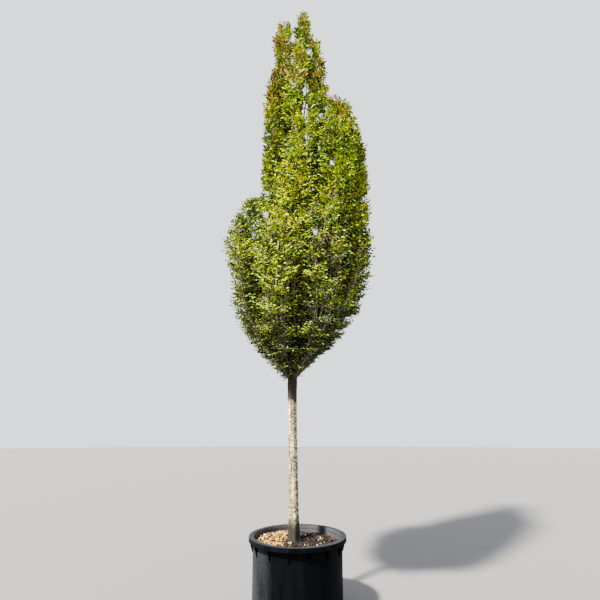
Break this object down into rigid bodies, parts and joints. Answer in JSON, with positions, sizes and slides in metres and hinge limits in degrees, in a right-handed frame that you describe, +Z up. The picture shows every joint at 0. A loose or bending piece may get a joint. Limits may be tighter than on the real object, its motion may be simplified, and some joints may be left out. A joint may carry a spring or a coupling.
{
  "type": "columnar hornbeam in nursery pot",
  "caption": "Whole columnar hornbeam in early autumn leaf: clear straight stem, spindle crown of steep plumes with a forked top, in a round black pot.",
  "frame": {"origin": "centre of the pot's flat underside", "axes": "+Z up the tree; -Y is the side seen in the picture; +X is the viewer's right"},
  "size_m": [1.8868, 1.7057, 8.4549],
  "materials": {
    "pot": "matte, dusty",
    "substrate": "loose bark chips",
    "bark": "smooth grey bark",
    "bough_bark": "smooth bark",
    "leaves_green": "satin leaves",
    "leaves_olive": "satin leaves",
    "leaves_bronze": "satin leaves"
  },
  "bodies": {
    "root": {"pot": "pot", "soil": "substrate", "trunk": "bark", "bough_lower_1": "bough_bark", "bough_lower_2": "bough_bark", "bough_lower_3": "bough_bark", "bough_lower_4": "bough_bark", "bough_lower_5": "bough_bark", "bough_lower_6": "bough_bark", "bough_lower_7": "bough_bark", "bough_lower_8": "bough_bark", "bough_middle_1": "bough_bark", "bough_middle_2": "bough_bark", "bough_middle_3": "bough_bark", "bough_middle_4": "bough_bark", "bough_middle_5": "bough_bark", "bough_middle_6": "bough_bark", "bough_middle_7": "bough_bark", "bough_top_1": "bough_bark", "bough_top_2": "bough_bark", "bough_top_3": "bough_bark", "bough_top_4": "bough_bark", "bough_upper_1": "bough_bark", "bough_upper_2": "bough_bark", "bough_upper_3": "bough_bark", "bough_upper_4": "bough_bark", "bough_upper_5": "bough_bark", "foliage_leader": "leaves_bronze", "foliage_lower_1": "leaves_green", "foliage_lower_2": "leaves_green", "foliage_lower_3": "leaves_green", "foliage_lower_4": "leaves_green", "foliage_lower_5": "leaves_green", "foliage_lower_6": "leaves_green", "foliage_lower_7": "leaves_green", "foliage_lower_8": "leaves_green", "foliage_middle_1": "leaves_green", "foliage_middle_2": "leaves_green", "foliage_middle_3": "leaves_green", "foliage_middle_4": "leaves_green", "foliage_middle_5": "leaves_green", "foliage_middle_6": "leaves_green", "foliage_middle_7": "leaves_green", "foliage_top_1": "leaves_bronze", "foliage_top_2": "leaves_bronze", "foliage_top_3": "leaves_bronze", "foliage_top_4": "leaves_bronze", "foliage_upper_1": "leaves_olive", "foliage_upper_2": "leaves_olive", "foliage_upper_3": "leaves_olive", "foliage_upper_4": "leaves_olive", "foliage_upper_5": "leaves_olive"}
  },
  "joints": []
}
